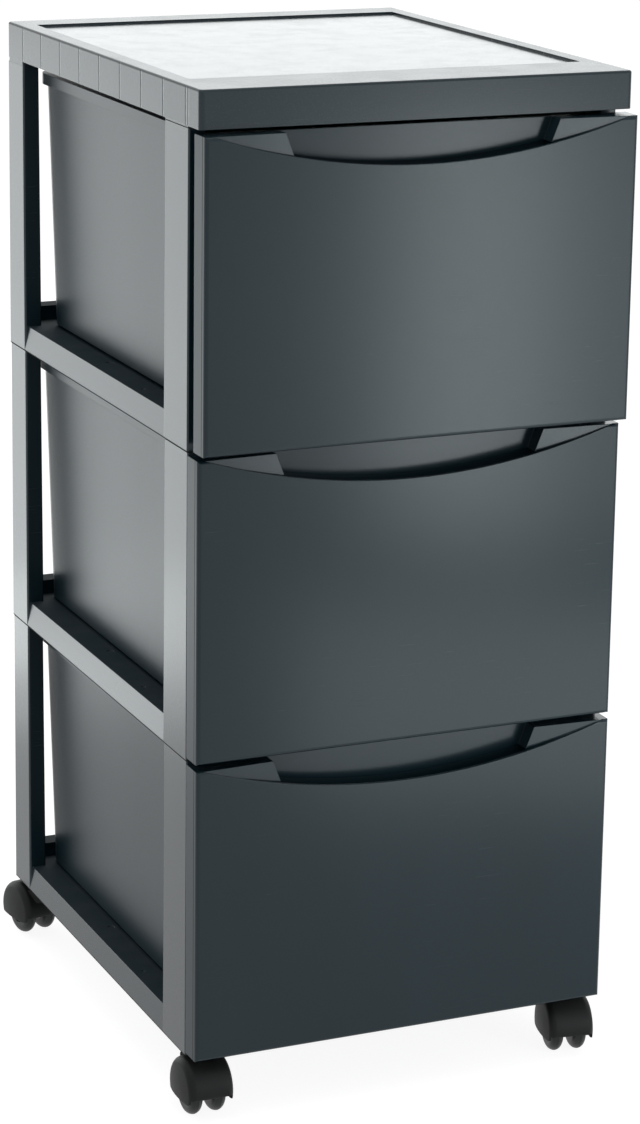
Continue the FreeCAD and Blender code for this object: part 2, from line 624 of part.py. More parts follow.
def castor_pieces(end, side):
    """Yield the pieces of one castor, turned and set under its socket."""
    pieces = {
        "housing": castor_housing(),
        "stem": castor_stem(),
        "axle": castor_axle(),
        "wheel_left": castor_wheel("left"),
        "wheel_right": castor_wheel("right"),
    }
    turn = 0.0
    if end == "back":
        turn = 180.0 + CASTOR_REST_TURN if side == "left" else 180.0 - CASTOR_REST_TURN
    elif side == "right":
        turn = -CASTOR_REST_TURN
    x = -STEM_X if side == "left" else STEM_X
    for name, shape in pieces.items():
        shape.translate(Vector(0, -CASTOR_TRAIL, 0))
        shape.rotate(Vector(0, 0, 0), Vector(0, 0, 1), turn)
        shape.translate(Vector(x, STEM_Y[end], 0))
        yield f"castor_{end}_{side}_{name}", shape


def build():
    """Return every piece of the tower by name, in working places."""
    pieces = {"lid": lid()}
    for tier, name in enumerate(TIER_NAMES):
        pieces[f"frame_{name}"] = frame(tier)
        pieces[f"drawer_{name}_bin"] = drawer_bin(tier)
        pieces[f"drawer_{name}_front"] = drawer_front(tier)
    for end in STEM_Y:
        for side in ("left", "right"):
            pieces.update(castor_pieces(end, side))
    return pieces


def export(pieces):
    """Move each piece to the part's origin and write it to its own file."""
    os.makedirs("parts", exist_ok=True)
    for name, shape in pieces.items():
        shape.translate(Vector(0, -ORIGIN_Y, 0))
        shape.exportStep(f"parts/{name}.step")
        print(name, "solids", len(shape.Solids), "valid", shape.isValid(), "volume", round(shape.Volume, 1))
    print("origin lies", ORIGIN_Y, "behind the lid's front face")


export(build())
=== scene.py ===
"""The looks of a three-drawer tower in moulded plastic, dressed on the fixed frame of its solids."""

import json
import logging
import math
from collections.abc import Iterator, Sequence
from dataclasses import dataclass
from enum import Enum

import bmesh
import bpy
from mathutils import Matrix, Vector


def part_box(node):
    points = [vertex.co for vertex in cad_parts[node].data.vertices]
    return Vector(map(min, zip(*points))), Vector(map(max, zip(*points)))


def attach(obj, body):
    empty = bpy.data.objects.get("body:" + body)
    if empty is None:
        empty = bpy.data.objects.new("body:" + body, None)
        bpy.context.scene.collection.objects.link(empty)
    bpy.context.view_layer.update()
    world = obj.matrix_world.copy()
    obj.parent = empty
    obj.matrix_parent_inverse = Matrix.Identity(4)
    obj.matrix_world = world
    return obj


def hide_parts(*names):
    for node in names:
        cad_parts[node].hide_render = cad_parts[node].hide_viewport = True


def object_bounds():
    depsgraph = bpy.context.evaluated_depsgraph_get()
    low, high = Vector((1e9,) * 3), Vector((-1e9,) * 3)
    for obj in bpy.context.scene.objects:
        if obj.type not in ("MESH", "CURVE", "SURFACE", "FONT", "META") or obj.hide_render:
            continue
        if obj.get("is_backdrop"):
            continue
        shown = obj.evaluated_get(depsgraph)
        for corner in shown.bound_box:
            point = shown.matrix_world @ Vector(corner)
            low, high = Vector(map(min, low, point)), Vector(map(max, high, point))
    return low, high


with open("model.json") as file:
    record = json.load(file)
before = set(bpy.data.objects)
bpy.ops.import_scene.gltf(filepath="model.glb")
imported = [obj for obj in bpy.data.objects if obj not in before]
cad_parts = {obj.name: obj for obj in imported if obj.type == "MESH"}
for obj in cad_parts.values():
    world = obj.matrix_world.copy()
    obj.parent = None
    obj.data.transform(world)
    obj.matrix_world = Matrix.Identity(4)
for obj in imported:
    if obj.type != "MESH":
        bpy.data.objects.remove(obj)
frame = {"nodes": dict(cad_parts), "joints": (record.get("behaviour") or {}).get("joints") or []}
CAD_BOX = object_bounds()

LOG = logging.getLogger("drawer_tower")
MM = 0.001
Colour = tuple[float, float, float]
Place = tuple[float, float, float]
Spot = tuple[float, float]
Socket = bpy.types.NodeSocket
Sockets = bpy.types.bpy_prop_collection
Material = bpy.types.Material
Piece = bpy.types.Object
# Near-black painted shade for the fine shut and parting lines, where a narrow gap or step lies in shade.
PAINTED_SHADE_BLACK = (0.001, 0.001, 0.001, 1.0)
FLECK_SPAN = (0.3, 0.7)
ARC_STEPS = 9
ON_AXIS = 0.0001 * MM


class Tier(Enum):
    """The three storeys of the tower, from the floor up."""

    BOTTOM = "bottom"
    MIDDLE = "middle"
    TOP = "top"


class End(Enum):
    """The end of the tower that a castor stands under."""

    FRONT = "front"
    BACK = "back"


class Side(Enum):
    """Left or right, seen from the front."""

    LEFT = "left"
    RIGHT = "right"

    @property
    def sign(self) -> int:
        """Give the direction along X."""
        return -1 if self is Side.LEFT else 1


class PortKind(Enum):
    """What a socket of a shared node group carries."""

    VALUE = "NodeSocketFloat"
    VECTOR = "NodeSocketVector"


@dataclass(frozen=True)
class Port:
    """One named socket of a shared node group."""

    name: str
    kind: PortKind = PortKind.VALUE
    default: float | None = None


class Graph:
    """Writes the nodes of one tree, from the coordinates to the output."""

    def __init__(self, tree: bpy.types.NodeTree) -> None:
        """Start on a tree.

        Args:
            tree: The node tree that the nodes go into.
        """
        self.tree = tree

    def add(self, kind: str, **settings: object) -> bpy.types.Node:
        """Add a node.

        Args:
            kind: The node's type name.
            **settings: Properties of the node itself.

        Returns:
            The new node.
        """
        node = self.tree.nodes.new(kind)
        for name, value in settings.items():
            setattr(node, name, value)
        return node

    def feed(self, socket: Socket, value: object) -> None:
        """Link a socket to another one, or set its value.

        Args:
            socket: The input socket.
            value: An output socket, or a plain value.
        """
        if isinstance(value, Socket):
            self.tree.links.new(value, socket)
        else:
            socket.default_value = value

    def math(self, operation: str, first: object, second: object = 0.0) -> Socket:
        """Work out one sum of two values.

        Args:
            operation: The name of the sum.
            first: A socket or a number.
            second: A socket or a number.

        Returns:
            The result's socket.
        """
        node = self.add("ShaderNodeMath", operation=operation)
        self.feed(node.inputs[0], first)
        self.feed(node.inputs[1], second)
        return node.outputs[0]

    def times(self, *factors: object) -> Socket:
        """Multiply two or more values."""
        product, *others = factors
        for other in others:
            product = self.math("MULTIPLY", product, other)
        return product

    def less(self, first: object, second: object) -> Socket:
        """Take the second value from the first."""
        return self.math("SUBTRACT", first, second)

    def plus(self, first: object, second: object) -> Socket:
        """Add two values."""
        return self.math("ADD", first, second)

    def remap(self, value: object, start: Spot, end: Sequence[object] = (0.0, 1.0)) -> Socket:
        """Carry a value softly from one span to another, held at its ends.

        Args:
            value: A socket or a number.
            start: The low and high end of the first span.
            end: The low and high end of the second span.

        Returns:
            The result's socket.
        """
        node = self.add("ShaderNodeMapRange", interpolation_type="SMOOTHSTEP")
        for socket, given in zip(node.inputs, (value, *start, *end)):
            self.feed(socket, given)
        return node.outputs[0]

    def mix(self, factor: object, first: object, second: object) -> Socket:
        """Mix two colours.

        Args:
            factor: The share of the second colour.
            first: A socket or a colour of four numbers.
            second: A socket or a colour of four numbers.

        Returns:
            The mixed colour's socket.
        """
        node = self.add("ShaderNodeMix", data_type="RGBA")
        self.feed(node.inputs[0], factor)
        self.feed(node.inputs[6], first)
        self.feed(node.inputs[7], second)
        return node.outputs[2]

    def blend(self, factor: object, first: object, second: object) -> Socket:
        """Mix two values.

        Args:
            factor: The share of the second value.
            first: A socket or a number.
            second: A socket or a number.

        Returns:
            The mixed value's socket.
        """
        node = self.add("ShaderNodeMix", data_type="FLOAT")
        for socket, given in zip((node.inputs[0], node.inputs[2], node.inputs[3]), (factor, first, second)):
            self.feed(socket, given)
        return node.outputs[0]

    def band(self, value: object, middle: object, width: float) -> Socket:
        """Give 1 where a value is at the middle of a narrow band, and 0 outside of it.

        Args:
            value: The value's socket.
            middle: The band's middle.
            width: The band's width.

        Returns:
            The mask's socket.
        """
        away = self.math("ABSOLUTE", self.less(value, middle))
        return self.remap(away, (width * 0.25, width * 0.5), (1.0, 0.0))

    def facing(self, axis: int, start: float = 0.7, end: float = 0.95) -> Socket:
        """Give a mask of the faces that look along an axis, either way for X and Y and up for Z.

        Args:
            axis: 0, 1 or 2.
            start: The normal's part along the axis where the mask begins.
            end: The part where it is whole.

        Returns:
            The mask's socket.
        """
        part = self.split(self.add("ShaderNodeNewGeometry").outputs["True Normal"])[axis]
        return self.remap(part if axis == 2 else self.math("ABSOLUTE", part), (start, end))

    def noise(self, place: object, scale: object, detail: float = 2.0, roughness: float = 0.5) -> Socket:
        """Add cloudy noise.

        Args:
            place: The coordinates' socket.
            scale: How many features there are to a metre.
            detail: How many finer layers are added.
            roughness: How strong the finer layers are.

        Returns:
            The socket of the noise, about 0.5.
        """
        node = self.add("ShaderNodeTexNoise", normalize=True)
        self.feed(node.inputs["Vector"], place)
        self.feed(node.inputs["Scale"], scale)
        node.inputs["Detail"].default_value = detail
        node.inputs["Roughness"].default_value = roughness
        return node.outputs[0]

    def stretched(self, place: object, turn: Place, scale: Place) -> Socket:
        """Turn and stretch coordinates.

        Args:
            place: The coordinates' socket.
            turn: The turn about each axis, in radians.
            scale: The scale along each axis.

        Returns:
            The changed coordinates' socket.
        """
        node = self.add("ShaderNodeMapping")
        self.feed(node.inputs["Vector"], place)
        node.inputs["Rotation"].default_value = turn
        node.inputs["Scale"].default_value = scale
        return node.outputs[0]

    def show(self, shader: bpy.types.Node, kind: str = "ShaderNodeOutputMaterial") -> None:
        """Give the tree its output."""
        self.feed(self.add(kind).inputs["Surface"], shader.outputs[0])

    def split(self, vector: object) -> tuple[Socket, ...]:
        """Give the three parts of a vector."""
        node = self.add("ShaderNodeSeparateXYZ")
        self.feed(node.inputs[0], vector)
        return tuple(node.outputs)


def opaque(colour: Sequence[float]) -> tuple[float, ...]:
    """Give a colour its whole alpha."""
    return (*colour, 1.0)


def blank(name: str) -> tuple[Material, Graph]:
    """Start an empty material.

    Args:
        name: The material's name.

    Returns:
        The material, and the graph of its nodes.
    """
    material = bpy.data.materials.new(name)
    material.use_nodes = True
    material.node_tree.nodes.clear()
    return material, Graph(material.node_tree)


class SharedGroup:
    """A shader node group that is built once and placed in many materials."""

    title = ""
    inputs: tuple[Port, ...] = ()
    outputs: tuple[Port, ...] = ()

    @classmethod
    def write(cls, graph: Graph, given: Sockets, made: Sockets) -> None:
        """Write the group's nodes.

        Args:
            graph: The group's own tree.
            given: The sockets that bring the inputs in.
            made: The sockets that take the outputs out.
        """
        raise NotImplementedError

    @classmethod
    def tree(cls) -> bpy.types.NodeTree:
        """Give the group's tree, which is built on its first use."""
        found = bpy.data.node_groups.get(cls.title)
        if found:
            return found
        tree = bpy.data.node_groups.new(cls.title, "ShaderNodeTree")
        for in_out, ports in (("INPUT", cls.inputs), ("OUTPUT", cls.outputs)):
            for port in ports:
                socket = tree.interface.new_socket(name=port.name, in_out=in_out, socket_type=port.kind.value)
                if port.default is not None:
                    socket.default_value = port.default
        graph = Graph(tree)
        given, made = graph.add("NodeGroupInput"), graph.add("NodeGroupOutput")
        cls.write(graph, given.outputs, made.inputs)
        return tree

    @classmethod
    def place(cls, graph: Graph, **values: object) -> Sockets:
        """Place the group in a material.

        Args:
            graph: The material's tree.
            **values: A socket or a number for each input, by its name in lower case.

        Returns:
            The group's output sockets.
        """
        node = graph.add("ShaderNodeGroup", node_tree=cls.tree())
        for name, value in values.items():
            graph.feed(node.inputs[name.replace("_", " ").title()], value)
        return node.outputs


class MouldGrain(SharedGroup):
    """The fine grain that a mould's etched face leaves, over the slow waves of a wide moulded wall."""

    title = "mould_grain"
    inputs = (
        Port("Place", PortKind.VECTOR),
        Port("Pitch", default=0.0006),
        Port("Depth", default=0.000004),
        Port("Wave", default=0.00004),
    )
    outputs = (Port("Height"), Port("Fleck"))
    wave_scale = 16.0
    wave_stretch = (1.0, 1.0, 0.55)
    fine_layers = (3.0, 0.6)
    wave_layers = (1.0, 0.4)
    peel_share = 0.14

    @classmethod
    def write(cls, graph: Graph, given: Sockets, made: Sockets) -> None:
        """Add up the grain, a coarser peel and the waves of the wall."""
        fine_scale = graph.math("DIVIDE", 1.0, given["Pitch"])
        fine = graph.noise(given["Place"], fine_scale, *cls.fine_layers)
        peel = graph.noise(given["Place"], graph.times(fine_scale, cls.peel_share))
        slow = graph.stretched(given["Place"], (0.0, 0.0, 0.0), cls.wave_stretch)
        wave = graph.noise(slow, cls.wave_scale, *cls.wave_layers)
        grain = graph.times(graph.plus(fine, peel), given["Depth"])
        height = graph.plus(grain, graph.times(wave, given["Wave"]))
        graph.feed(made["Height"], height)
        graph.feed(made["Fleck"], fine)


class FlowShade(SharedGroup):
    """Broad, faint clouds of tone where the plastic flowed and cooled at different rates."""

    title = "flow_shade"
    inputs = (Port("Place", PortKind.VECTOR), Port("Scale", default=7.0))
    outputs = (Port("Shade"),)
    lean = (0.15, 0.3, 0.2)
    stretch = (1.0, 1.0, 0.4)
    cloud_layers = (3.0, 0.55)
    cloud_span = (0.3, 0.7)

    @classmethod
    def write(cls, graph: Graph, given: Sockets, made: Sockets) -> None:
        """Draw long clouds that lean along the flow."""
        drawn = graph.stretched(given["Place"], cls.lean, cls.stretch)
        cloud = graph.noise(drawn, given["Scale"], *cls.cloud_layers)
        graph.feed(made["Shade"], graph.remap(cloud, cls.cloud_span))


class RoundedEdge(SharedGroup):
    """Small rounded edges, and a mask of the edges, broken up with noise, that carries a painted highlight.
    """

    title = "rounded_edge"
    inputs = (Port("Place", PortKind.VECTOR), Port("Radius", default=0.0006))
    outputs = (Port("Normal", PortKind.VECTOR), Port("Edge"))
    samples = 6
    turn_span = (0.02, 0.2)
    break_scale = 160.0
    break_detail = 3.0
    break_span = (0.32, 0.62)

    @classmethod
    def write(cls, graph: Graph, given: Sockets, made: Sockets) -> None:
        """Compare the rounded normal with the flat one, and break the mask up with noise."""
        bevel = graph.add("ShaderNodeBevel", samples=cls.samples)
        graph.feed(bevel.inputs["Radius"], given["Radius"])
        flat = graph.add("ShaderNodeNewGeometry").outputs["Normal"]
        dot = graph.add("ShaderNodeVectorMath", operation="DOT_PRODUCT")
        graph.feed(dot.inputs[0], bevel.outputs[0])
        graph.feed(dot.inputs[1], flat)
        turned = graph.remap(graph.less(1.0, dot.outputs["Value"]), cls.turn_span)
        broken = graph.remap(graph.noise(given["Place"], cls.break_scale, cls.break_detail), cls.break_span)
        graph.feed(made["Normal"], bevel.outputs[0])
        graph.feed(made["Edge"], graph.times(turned, broken))


class RestingDust(SharedGroup):
    """The thin dust that settles on faces that look up."""

    title = "resting_dust"
    inputs = (Port("Place", PortKind.VECTOR), Port("Amount", default=0.2))
    outputs = (Port("Mask"),)
    up_span = (0.6, 0.98)
    cloud_scale = 38.0
    cloud_layers = (5.0, 0.65)
    cloud_span = (0.35, 0.75)

    @classmethod
    def write(cls, graph: Graph, given: Sockets, made: Sockets) -> None:
        """Keep cloudy noise on the faces that look up."""
        up = graph.split(graph.add("ShaderNodeNewGeometry").outputs["Normal"])[2]
        lies = graph.remap(up, cls.up_span)
        cloud = graph.remap(graph.noise(given["Place"], cls.cloud_scale, *cls.cloud_layers), cls.cloud_span)
        graph.feed(made["Mask"], graph.times(lies, cloud, given["Amount"]))


class RubMarks(SharedGroup):
    """Fine short scuffs from things that slide over the plastic."""

    title = "rub_marks"
    inputs = (Port("Place", PortKind.VECTOR), Port("Amount", default=0.3))
    outputs = (Port("Mask"),)
    turns = ((0.0, 0.0, 0.5), (0.4, 0.9, -0.7))
    stretch = (1.0, 34.0, 34.0)
    mark_scale = 26.0
    mark_layers = (2.0, 0.7)
    mark_span = (0.64, 0.74)
    patch_scale = 14.0
    patch_span = (0.45, 0.7)

    @classmethod
    def write(cls, graph: Graph, given: Sockets, made: Sockets) -> None:
        """Cross two families of drawn-out noise and keep only their peaks."""
        marks = []
        for turn in cls.turns:
            drawn = graph.stretched(given["Place"], turn, cls.stretch)
            marks.append(graph.remap(graph.noise(drawn, cls.mark_scale, *cls.mark_layers), cls.mark_span))
        patch = graph.remap(graph.noise(given["Place"], cls.patch_scale), cls.patch_span)
        both = graph.math("MAXIMUM", *marks)
        graph.feed(made["Mask"], graph.times(both, patch, given["Amount"]))


@dataclass(frozen=True)
class MouldedPlastic:
    """A coloured injection-moulded plastic with its own gloss and grain."""

    name: str
    colour: Colour
    roughness: float = 0.26
    gloss_drift: float = 0.03
    refraction: float = 1.37
    grain_pitch: float = 0.6 * MM
    grain_depth: float = 0.003 * MM
    wave_depth: float = 0.03 * MM
    edge_radius: float = 0.5 * MM
    edge_highlight: float = 0.35
    dust: float = 0.12
    scuffs: float = 0.25
    dust_colour: Colour = (0.32, 0.32, 0.31)
    sheen: Colour = (0.95, 0.99, 1.0)
    tone_drift: float = 0.1
    highlight_share: float = 1.9
    highlight_lift: float = 0.006
    dulling: float = 0.35

    def relief(self, graph: Graph, place: Socket, height: Socket) -> Socket:
        """Give the height of the surface's relief; a finish with more relief adds its own.

        Args:
            graph: The material's tree.
            place: The coordinates' socket.
            height: The height of the grain.

        Returns:
            The socket of the whole height.
        """
        return height

    def gloss(self, graph: Graph, place: Socket, rough: Socket) -> Socket:
        """Give the roughness; a finish with two sheens mixes them here.

        Args:
            graph: The material's tree.
            place: The coordinates' socket.
            rough: The roughness of the whole.

        Returns:
            The socket of the mixed roughness.
        """
        return rough

    def tint(self, graph: Graph, place: Socket, tone: Socket) -> Socket:
        """Give the colour; a finish with marks of its own draws them here.

        Args:
            graph: The material's tree.
            place: The coordinates' socket.
            tone: The plastic's colour.

        Returns:
            The socket of the colour with the marks.
        """
        return tone

    def material(self) -> Material:
        """Build the material, or give it if it is there already."""
        found = bpy.data.materials.get(self.name)
        if found:
            return found
        material, graph = blank(self.name)
        material.diffuse_color = opaque(self.colour)
        place = graph.add("ShaderNodeTexCoord").outputs["Object"]
        grain = MouldGrain.place(
            graph, place=place, pitch=self.grain_pitch, depth=self.grain_depth, wave=self.wave_depth
        )
        shade = FlowShade.place(graph, place=place)["Shade"]
        edge = RoundedEdge.place(graph, place=place, radius=self.edge_radius)
        dust = RestingDust.place(graph, place=place, amount=self.dust)["Mask"]
        scuff = RubMarks.place(graph, place=place, amount=self.scuffs)["Mask"]

        deep = tuple(part * (1.0 - self.tone_drift) for part in self.colour)
        pale = tuple(part * (1.0 + self.tone_drift) for part in self.colour)
        tone = graph.mix(shade, opaque(deep), opaque(pale))
        # Painted highlight: the edges are mixed towards a paler copy of the colour, in place of light caught
        # on the small rounded edges.
        edge_highlight_tone = tuple(part * self.highlight_share + self.highlight_lift for part in self.colour)
        tone = graph.mix(graph.times(edge["Edge"], self.edge_highlight), tone, opaque(edge_highlight_tone))
        tone = graph.mix(dust, tone, opaque(self.dust_colour))
        tone = self.tint(graph, place, tone)

        span = (self.roughness - self.gloss_drift, self.roughness + self.gloss_drift)
        rough = graph.remap(grain["Fleck"], FLECK_SPAN, span)
        rough = graph.plus(rough, graph.times(graph.plus(dust, scuff), self.dulling))
        rough = self.gloss(graph, place, rough)

        bump = graph.add("ShaderNodeBump")
        bump.inputs["Strength"].default_value = 1.0
        bump.inputs["Distance"].default_value = 1.0
        graph.feed(bump.inputs["Height"], self.relief(graph, place, grain["Height"]))
        graph.feed(bump.inputs["Normal"], edge["Normal"])

        shader = graph.add("ShaderNodeBsdfPrincipled")
        shader.inputs["IOR"].default_value = self.refraction
        shader.inputs["Specular Tint"].default_value = opaque(self.sheen)
        graph.feed(shader.inputs["Base Color"], tone)
        graph.feed(shader.inputs["Roughness"], rough)
        graph.feed(shader.inputs["Normal"], bump.outputs[0])
        graph.show(shader)
        return material


@dataclass(frozen=True)
class LidPlastic(MouldedPlastic):
    """The lid's plastic: a glossy tray floor in a satin rim, and faint sink lines over the ribs."""

    tray_top: float = 0.0
    tray_roughness: float = 0.16
    tray_blend: float = 1.0 * MM
    rib_start: float = 0.0
    rib_pitch: float = 38.0 * MM
    sink_width: float = 2.4 * MM
    sink_depth: float = 0.3 * MM
    corner: float = 0.0
    draft: float = 0.03
    skirt_span: Spot = (0.1, 0.3)
    floor_span: Spot = (0.7, 0.95)

    def relief(self, graph: Graph, place: Socket, height: Socket) -> Socket:
        """Sink a shallow line in the skirt over each rib, and let the skirt lean by its draft."""
        along = graph.split(place)[1]
        to_rib = graph.math("PINGPONG", graph.less(along, self.rib_start), self.rib_pitch / 2)
        line = graph.remap(to_rib, (0.0, self.sink_width / 2), (1.0, 0.0))
        line = graph.math("MAXIMUM", line, graph.band(along, self.corner, self.sink_width))
        line = graph.times(line, graph.facing(0))
        height = graph.less(height, graph.times(line, self.sink_depth))
        upright = graph.less(1.0, graph.facing(2, *self.skirt_span))
        lean = graph.times(graph.split(place)[2], self.draft, upright)
        return graph.less(height, lean)

    def gloss(self, graph: Graph, place: Socket, rough: Socket) -> Socket:
        """Make the tray's floor glossier than its rim."""
        normal = graph.add("ShaderNodeNewGeometry").outputs["Normal"]
        up = graph.remap(graph.split(normal)[2], self.floor_span)
        low = graph.remap(graph.split(place)[2], (self.tray_top, self.tray_top + self.tray_blend), (1.0, 0.0))
        inside = graph.times(up, low)
        drop = graph.less(rough, self.roughness - self.tray_roughness)
        return graph.blend(inside, rough, drop)


@dataclass(frozen=True)
class FramePlastic(MouldedPlastic):
    """The frames' plastic: painted shade along the shut lines where two storeys meet, and ledges duller than
    the walls.
    """

    first_seam: float = 41.3 * MM
    seam_pitch: float = 199.5 * MM
    seam_width: float = 1.6 * MM
    seam_relief: float = 0.5 * MM
    ledge_roughness: float = 0.5
    ledge_tilt: float = 0.45

    def relief(self, graph: Graph, place: Socket, height: Socket) -> Socket:
        """Give the ledges their coarse lay, and the shut lines a small lip."""
        rise = graph.times(graph.split(place)[1], self.ledge_tilt)
        height = graph.plus(height, graph.times(rise, graph.facing(2)))
        return graph.plus(height, graph.times(self.seam(graph, place), self.seam_relief))

    def seam(self, graph: Graph, place: Socket) -> Socket:
        """Give a mask of the shut lines."""
        above = graph.less(graph.split(place)[2], self.first_seam)
        return graph.band(graph.math("PINGPONG", above, self.seam_pitch / 2), 0.0, self.seam_width)

    def tint(self, graph: Graph, place: Socket, tone: Socket) -> Socket:
        """Darken the shut lines, where no light gets in."""
        return graph.mix(self.seam(graph, place), tone, PAINTED_SHADE_BLACK)

    def gloss(self, graph: Graph, place: Socket, rough: Socket) -> Socket:
        """Dull the ledges and the shut lines."""
        rough = graph.blend(graph.facing(2), rough, self.ledge_roughness)
        return graph.blend(self.seam(graph, place), rough, 1.0)


@dataclass(frozen=True)
class BinPlastic(MouldedPlastic):
    """The bins' plastic: thin side walls that bow inward towards the rear corners as they cool."""

    bow_start: float = 0.0
    bow_length: float = 150.0 * MM
    bow_slope: float = 0.06

    def relief(self, graph: Graph, place: Socket, height: Socket) -> Socket:
        """Let the side walls fall away towards the rear."""
        past = graph.math("MAXIMUM", graph.less(graph.split(place)[1], self.bow_start), 0.0)
        fall = graph.times(graph.math("POWER", past, 2.0), self.bow_slope / (2 * self.bow_length))
        side = graph.times(fall, graph.facing(0))
        return graph.less(height, side)


@dataclass(frozen=True)
class FrontPlastic(MouldedPlastic):
    """The drawer fronts' plastic: duller returns at the sides, with the mould's fine parting line drawn in
    painted shade.
    """

    parting: float = 0.0
    parting_width: float = 0.9 * MM
    return_roughness: float = 0.45

    def line(self, graph: Graph, place: Socket) -> Socket:
        """Give a mask of the parting line."""
        return graph.band(graph.split(place)[1], self.parting, self.parting_width)

    def tint(self, graph: Graph, place: Socket, tone: Socket) -> Socket:
        """Draw the parting line on the returns as a near-black line of painted shade."""
        return graph.mix(graph.times(self.line(graph, place), graph.facing(0)), tone, PAINTED_SHADE_BLACK)

    def gloss(self, graph: Graph, place: Socket, rough: Socket) -> Socket:
        """Dull the returns."""
        dull = graph.blend(self.line(graph, place), self.return_roughness, 1.0)
        return graph.blend(graph.facing(0), rough, dull)


@dataclass(frozen=True)
class PlatedSteel:
    """Bright zinc-plated steel with a cloudy tone and fine scuffs, for stems and axles."""

    name: str
    colour: Colour
    roughness: float = 0.3
    gloss_drift: float = 0.08
    dull_share: float = 0.75
    cloud_scale: float = 90.0
    scuffs: float = 0.5
    grain_pitch: float = 0.25 * MM
    grain_depth: float = 0.002 * MM

    def material(self) -> Material:
        """Build the material, or give it if it is there already."""
        found = bpy.data.materials.get(self.name)
        if found:
            return found
        material, graph = blank(self.name)
        place = graph.add("ShaderNodeTexCoord").outputs["Object"]
        shade = FlowShade.place(graph, place=place, scale=self.cloud_scale)["Shade"]
        scuff = RubMarks.place(graph, place=place, amount=self.scuffs)["Mask"]
        grain = MouldGrain.place(graph, place=place, pitch=self.grain_pitch, depth=self.grain_depth, wave=0.0)
        dull = tuple(part * self.dull_share for part in self.colour)
        tone = graph.mix(shade, opaque(dull), opaque(self.colour))
        span = (self.roughness - self.gloss_drift, self.roughness + self.gloss_drift)
        rough = graph.remap(grain["Fleck"], FLECK_SPAN, span)
        bump = graph.add("ShaderNodeBump")
        bump.inputs["Distance"].default_value = 1.0
        graph.feed(bump.inputs["Height"], grain["Height"])
        shader = graph.add("ShaderNodeBsdfPrincipled")
        shader.inputs["Metallic"].default_value = 1.0
        graph.feed(shader.inputs["Base Color"], tone)
        graph.feed(shader.inputs["Roughness"], graph.plus(rough, scuff))
        graph.feed(shader.inputs["Normal"], bump.outputs[0])
        graph.show(shader)
        return material


ANTHRACITE: Colour = (0.0062, 0.0172, 0.0240)
CASTOR_BLACK: Colour = (0.0098, 0.0100, 0.0100)


def set_down(name: str, data: bpy.types.ID) -> Piece:
    """Put a new object with its data in the scene."""
    made = bpy.data.objects.new(name, data)
    bpy.context.scene.collection.objects.link(made)
    return made


def dress(node: str, material: Material) -> Piece:
    """Give a node of the frame its finish.

    Args:
        node: The node's name.
        material: The finish for all of its slots.

    Returns:
        The node's object.
    """
    piece = frame["nodes"][node]
    for slot in piece.material_slots:
        slot.material = material
    return piece


def joint_of(name: str) -> dict:
    """Give a joint of the frame by its name."""
    return next(joint for joint in frame["joints"] if joint["name"] == name)


